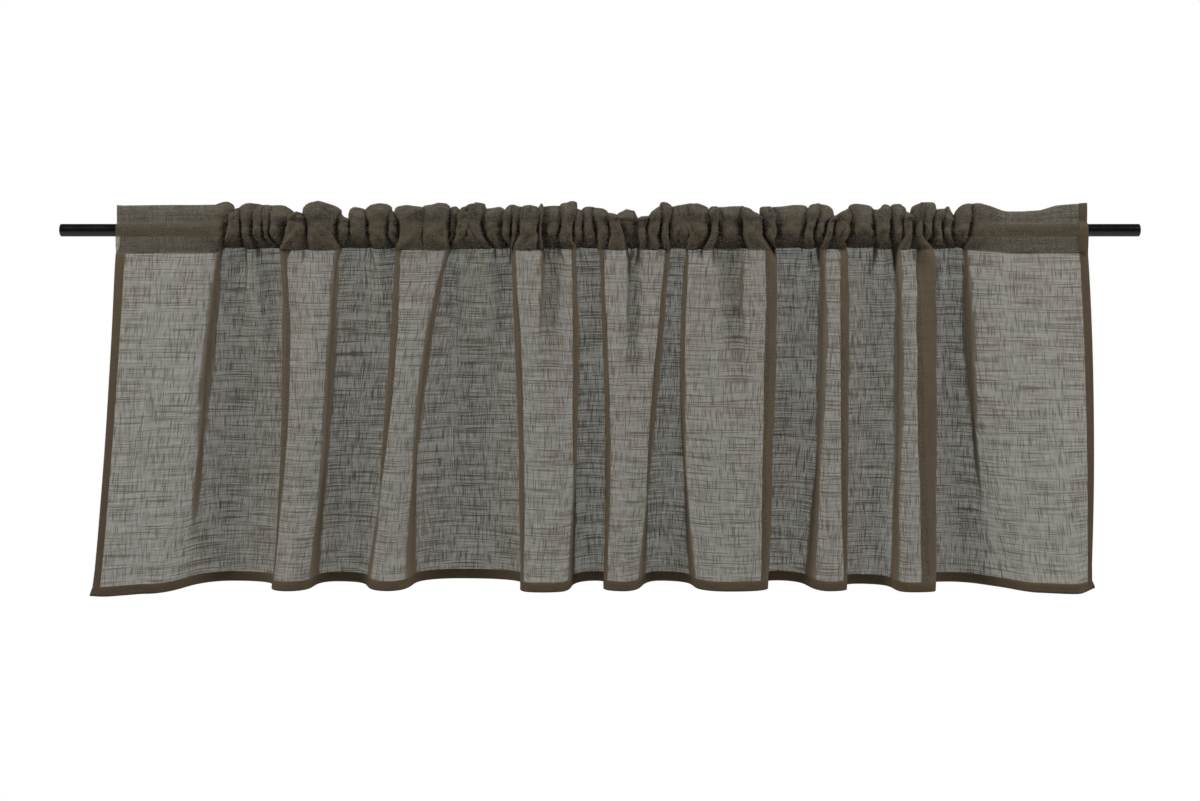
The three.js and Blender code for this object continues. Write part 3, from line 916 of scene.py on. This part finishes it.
def cloth_material(settings):
    """Sheer brown slub weave: see-through between its threads, denser where it is hemmed."""
    material, n, surface = new_material("brown_slub_voile")
    uv = n.new("ShaderNodeUVMap", uv_map="cloth").outputs[0]
    weave = n.new("ShaderNodeGroup")
    weave.node_tree = slub_weave()
    n.link(uv, weave.inputs["Cloth"])
    weave.inputs["Unevenness"].default_value = settings.unevenness
    weave.inputs["Slubs"].default_value = settings.slubs
    # The density attribute: how many thicknesses of cloth lie here, with painted shade added where
    # the panel hangs back.
    layers_and_shade = n.new("ShaderNodeAttribute", attribute_name="layers_and_shade").outputs["Fac"]
    open_share = math.sqrt(settings.openness)
    turned = n.ramp(layers_and_shade, TURNED_FROM, TURNED_TO)
    evenness = n.new("ShaderNodeMix", data_type="FLOAT")
    n.link(n.math("MULTIPLY", turned, TURNED_EVENNESS), evenness.inputs[0])
    n.link(weave.outputs["Density"], evenness.inputs[2])
    evenness.inputs[3].default_value = 1.0
    power = n.math("MULTIPLY", evenness.outputs[0], layers_and_shade)
    clear = n.math("POWER", open_share, power)
    clear_shader = n.new("ShaderNodeBsdfTransparent")
    clear_shader.inputs[0].default_value = (*settings.clear_tint, 1)
    glow = n.new("ShaderNodeBsdfTranslucent")
    glow.inputs[0].default_value = (*settings.glow_colour, 1)
    yarn_shader = n.new("ShaderNodeMixShader")
    yarn_shader.inputs[0].default_value = settings.glow
    n.link(surface.outputs[0], yarn_shader.inputs[1])
    n.link(glow.outputs[0], yarn_shader.inputs[2])
    blend = n.new("ShaderNodeMixShader")
    n.link(clear, blend.inputs[0])
    n.link(yarn_shader.outputs[0], blend.inputs[1])
    n.link(clear_shader.outputs[0], blend.inputs[2])
    out = next(x for x in n.tree.nodes if x.type == "OUTPUT_MATERIAL")
    n.link(blend.outputs[0], out.inputs["Surface"])
    base = (*settings.cloth_colour, 1)
    hemmed = n.ramp(layers_and_shade, HEM_LAYERS - 0.8, HEM_LAYERS - 0.2)
    # Painted light: where a pleat turns the cloth edge on, the colour is mixed towards a lighter,
    # warmer one for the light those walls catch; where it is hemmed, towards the hem's own darker
    # colour.
    for share, other in ((turned, settings.turned_painted_light_colour), (hemmed, settings.hem_colour)):
        mix = n.new("ShaderNodeMix", data_type="RGBA")
        n.link(share, mix.inputs["Factor"])
        n.link(base, mix.inputs[6])
        mix.inputs[7].default_value = (*other, 1)
        base = mix.outputs[2]
    toned = n.new("ShaderNodeVectorMath", operation="SCALE")
    n.link(base, toned.inputs[0])
    n.link(n.ramp(weave.outputs["Tone"], 0.0, 1.0, THREAD_DARK, THREAD_LIGHT, smoothly=False),
           toned.inputs["Scale"])
    n.link(toned.outputs[0], surface.inputs["Base Color"])
    bump = n.new("ShaderNodeBump")
    bump.inputs["Strength"].default_value = 0.35
    bump.inputs["Distance"].default_value = 0.0002
    n.link(weave.outputs["Height"], bump.inputs["Height"])
    n.link(bump.outputs[0], surface.inputs["Normal"])
    surface.inputs["Roughness"].default_value = 0.92
    surface.inputs["Specular IOR Level"].default_value = 0.08
    return material


def rod_material(settings):
    """Black satin paint with a faint unevenness."""
    material, n, surface = new_material("black_satin_paint")
    place = n.new("ShaderNodeTexCoord").outputs["Object"]
    noise = n.new("ShaderNodeTexNoise")
    noise.inputs["Scale"].default_value = 60.0
    n.link(place, noise.inputs["Vector"])
    rough = settings.rod_roughness
    n.link(n.ramp(noise.outputs[0], 0.3, 0.7, rough - 0.03, rough + 0.03),
           surface.inputs["Roughness"])
    surface.inputs["Base Color"].default_value = (*settings.rod_colour, 1)
    surface.inputs["Specular IOR Level"].default_value = 0.42
    return material


# ---------------------------------------------------------------- settings

class ValanceSettings(bpy.types.PropertyGroup):
    cloth_colour: FloatVectorProperty(
        name="Cloth colour", description="Colour of the yarn", subtype="COLOR",
        size=3, min=0, max=1, default=(0.088, 0.072, 0.051))
    hem_colour: FloatVectorProperty(
        name="Hem colour", description="Colour of the cloth where it is folded in a hem",
        subtype="COLOR", size=3, min=0, max=1, default=(0.078, 0.059, 0.038))
    # Painted light: a lighter, warmer colour where a pleat turns the cloth edge on, for the light
    # those walls catch.
    turned_painted_light_colour: FloatVectorProperty(
        name="Turned colour", description="Colour of the cloth where a pleat turns it edge on",
        subtype="COLOR", size=3, min=0, max=1, default=(0.110, 0.085, 0.055))
    glow_colour: FloatVectorProperty(
        name="Glow colour", description="Colour of the light that seeps through the yarn",
        subtype="COLOR", size=3, min=0, max=1, default=(0.80, 0.64, 0.45))
    glow: FloatProperty(
        name="Glow", description="Share of the light that seeps through the yarn",
        subtype="FACTOR", min=0, max=1, default=0.10)
    clear_tint: FloatVectorProperty(
        name="Clear tint", description="Tint of the light that passes between the threads",
        subtype="COLOR", size=3, min=0, max=1, default=(0.980, 1.0, 0.980))
    openness: FloatProperty(
        name="Openness", description="Share of the light that one layer of cloth lets through",
        subtype="FACTOR", min=0.01, max=0.9, default=0.148)
    unevenness: FloatProperty(
        name="Unevenness", description="How much the yarn's thickness varies",
        min=0, max=3, default=0.55)
    slubs: FloatProperty(
        name="Slubs", description="How thick the slubs are", min=0, max=3, default=0.62)
    rod_colour: FloatVectorProperty(
        name="Rod colour", description="Colour of the rod's paint", subtype="COLOR",
        size=3, min=0, max=1, default=(0.0020, 0.0024, 0.0021))
    rod_roughness: FloatProperty(
        name="Rod roughness", description="How matt the rod's paint is",
        subtype="FACTOR", min=0.1, max=0.95, default=0.20)


class StudioSettings(bpy.types.PropertyGroup):
    side_light: FloatProperty(
        name="Side light", description="Power of each of the two side soft boxes",
        subtype="POWER", min=0, max=500, default=58)
    front_light: FloatProperty(
        name="Front light", description="Power of the soft box above the camera",
        subtype="POWER", min=0, max=500, default=3)
    top_light: FloatProperty(
        name="Top light", description="Power of the soft box overhead",
        subtype="POWER", min=0, max=500, default=20)
    back_light: FloatProperty(
        name="Back light", description="Power of the soft box behind the valance",
        subtype="POWER", min=0, max=500, default=30)
    ambient: FloatProperty(
        name="Ambient", description="Strength of the light from all round",
        min=0, max=2, default=0.07)
    lens: FloatProperty(
        name="Lens", description="Focal length of the camera", min=10, max=300, default=50)
    view_width: FloatProperty(
        name="View width", description="Width of the view at the rod",
        subtype="DISTANCE", unit="LENGTH", min=0.2, max=10, default=1.536)
    floor_drop: FloatProperty(
        name="Floor drop", description="How far the floor lies below the rod",
        subtype="DISTANCE", unit="LENGTH", min=0.5, max=5, default=1.25)


# ---------------------------------------------------------------- operators

def link_object(name, data):
    made = bpy.data.objects.new(name, data)
    bpy.context.scene.collection.objects.link(made)
    return made


class VALANCE_OT_stage(bpy.types.Operator):
    """Makes the studio: floor, soft light, white surroundings and the camera"""

    bl_idname = "valance.stage"
    bl_label = "Studio"

    def execute(self, context):
        studio = context.scene.studio
        self.make_world(studio)
        self.make_floor(studio)
        self.make_light("side_box_left", (-2.1, -1.0, 1.15), 1.0, studio.side_light)
        self.make_light("side_box_right", (2.1, -1.0, 1.15), 1.0, studio.side_light)
        self.make_light("front_box", (0.0, -2.6, 1.5), 1.4, studio.front_light)
        self.make_light("top_box", (0.0, -0.55, 2.0), 1.6, studio.top_light)
        self.make_light("back_box", (0.6, 2.4, 1.3), 1.4, studio.back_light)
        self.make_camera(studio)
        context.scene.view_settings.view_transform = "Standard"
        return {"FINISHED"}

    def make_world(self, studio):
        world = bpy.data.worlds.new("studio")
        world.use_nodes = True
        bpy.context.scene.world = world
        n = Nodes(world.node_tree)
        background = next(x for x in n.tree.nodes if x.type == "BACKGROUND")
        background.inputs["Color"].default_value = (1, 1, 1, 1)
        sight = n.new("ShaderNodeLightPath").outputs["Is Camera Ray"]
        n.link(n.ramp(sight, 0, 1, studio.ambient, 1.0, smoothly=False),
               background.inputs["Strength"])

    def make_floor(self, studio):
        bpy.ops.object.select_all(action="DESELECT")
        bpy.ops.mesh.primitive_circle_add(vertices=96, radius=4.0, fill_type="NGON",
                                          location=(0, 0, -studio.floor_drop))
        floor = bpy.context.object
        floor.name = "studio_floor"
        bpy.ops.object.transform_apply(location=True, rotation=True, scale=True)
        material, n, surface = new_material("pale_floor")
        surface.inputs["Base Color"].default_value = (0.68, 0.68, 0.67, 1)
        surface.inputs["Roughness"].default_value = 0.9
        place = n.new("ShaderNodeTexCoord").outputs["Object"]
        flat = n.new("ShaderNodeVectorMath", operation="MULTIPLY")
        n.link(place, flat.inputs[0])
        flat.inputs[1].default_value = (1, 1, 0)
        reach = n.new("ShaderNodeVectorMath", operation="LENGTH")
        n.link(flat.outputs[0], reach.inputs[0])
        glow = n.new("ShaderNodeEmission")
        mix = n.new("ShaderNodeMixShader")
        sight = n.new("ShaderNodeLightPath").outputs["Is Camera Ray"]
        n.link(n.math("MULTIPLY", n.ramp(reach.outputs["Value"], 0.5, 1.6), sight), mix.inputs[0])
        n.link(surface.outputs[0], mix.inputs[1])
        n.link(glow.outputs[0], mix.inputs[2])
        out = next(x for x in n.tree.nodes if x.type == "OUTPUT_MATERIAL")
        n.link(mix.outputs[0], out.inputs["Surface"])
        floor.data.materials.append(material)

    def make_light(self, name, place, size, power):
        data = bpy.data.lights.new(name, "AREA")
        data.shape = "SQUARE"
        data.size = size
        data.energy = power
        light = link_object(name, data)
        light.location = place
        aim = CAD_BOX[0].lerp(CAD_BOX[1], 0.5) - light.location
        light.rotation_euler = aim.to_track_quat("-Z", "Y").to_euler()
        light.visible_camera = False

    def make_camera(self, studio):
        data = bpy.data.cameras.new("camera")
        data.lens = studio.lens
        camera = link_object("camera", data)
        distance = studio.view_width * studio.lens / data.sensor_width
        low, high = CLOTH_LOW.z, CLOTH_HIGH.z
        camera.location = (0, -distance, (low + high) / 2 - 0.004)
        camera.rotation_euler = (math.pi / 2, 0, 0)
        bpy.context.scene.camera = camera


class VALANCE_OT_rod(bpy.types.Operator):
    """Paints the curtain rod"""

    bl_idname = "valance.rod"
    bl_label = "Rod finish"

    def execute(self, context):
        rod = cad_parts["curtain_rod"]
        rod.data.materials.clear()
        rod.data.materials.append(rod_material(context.scene.valance))
        rod.data.polygons.foreach_set("use_smooth", np.ones(len(rod.data.polygons), bool))
        return {"FINISHED"}


class VALANCE_OT_cloth(bpy.types.Operator):
    """Makes the gathered cloth with its rod pocket, frill and hems"""

    bl_idname = "valance.cloth"
    bl_label = "Cloth"

    def execute(self, context):
        points, flat, heights, hemmed, layers_and_shade = cloth_grid()
        mesh = sheet_mesh("valance", points, flat, heights, hemmed, layers_and_shade)
        cloth = link_object("valance", mesh)
        mesh.materials.append(cloth_material(context.scene.valance))
        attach(cloth, BODY)
        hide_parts("valance_cloth")
        return {"FINISHED"}


class VALANCE_PT_panel(bpy.types.Panel):
    """Shows the buttons that make the studio, rod and cloth, and their settings"""

    bl_label = "Valance"
    bl_idname = "VALANCE_PT_panel"
    bl_space_type = "VIEW_3D"
    bl_region_type = "UI"
    bl_category = "Valance"

    def draw(self, context):
        for operator in OPERATORS:
            self.layout.operator(operator.bl_idname)
        for group in (context.scene.valance, context.scene.studio):
            box = self.layout.box()
            for name in group.__annotations__:
                box.prop(group, name)


OPERATORS = (VALANCE_OT_stage, VALANCE_OT_rod, VALANCE_OT_cloth)
CLASSES = (ValanceSettings, StudioSettings, *OPERATORS, VALANCE_PT_panel)


def register():
    for cls in CLASSES:
        bpy.utils.register_class(cls)
    bpy.types.Scene.valance = PointerProperty(type=ValanceSettings)
    bpy.types.Scene.studio = PointerProperty(type=StudioSettings)


def unregister():
    del bpy.types.Scene.studio
    del bpy.types.Scene.valance
    for cls in reversed(CLASSES):
        bpy.utils.unregister_class(cls)


def main():
    register()
    bpy.ops.valance.stage()
    bpy.ops.valance.rod()
    bpy.ops.valance.cloth()


if __name__ == "__main__":
    main()
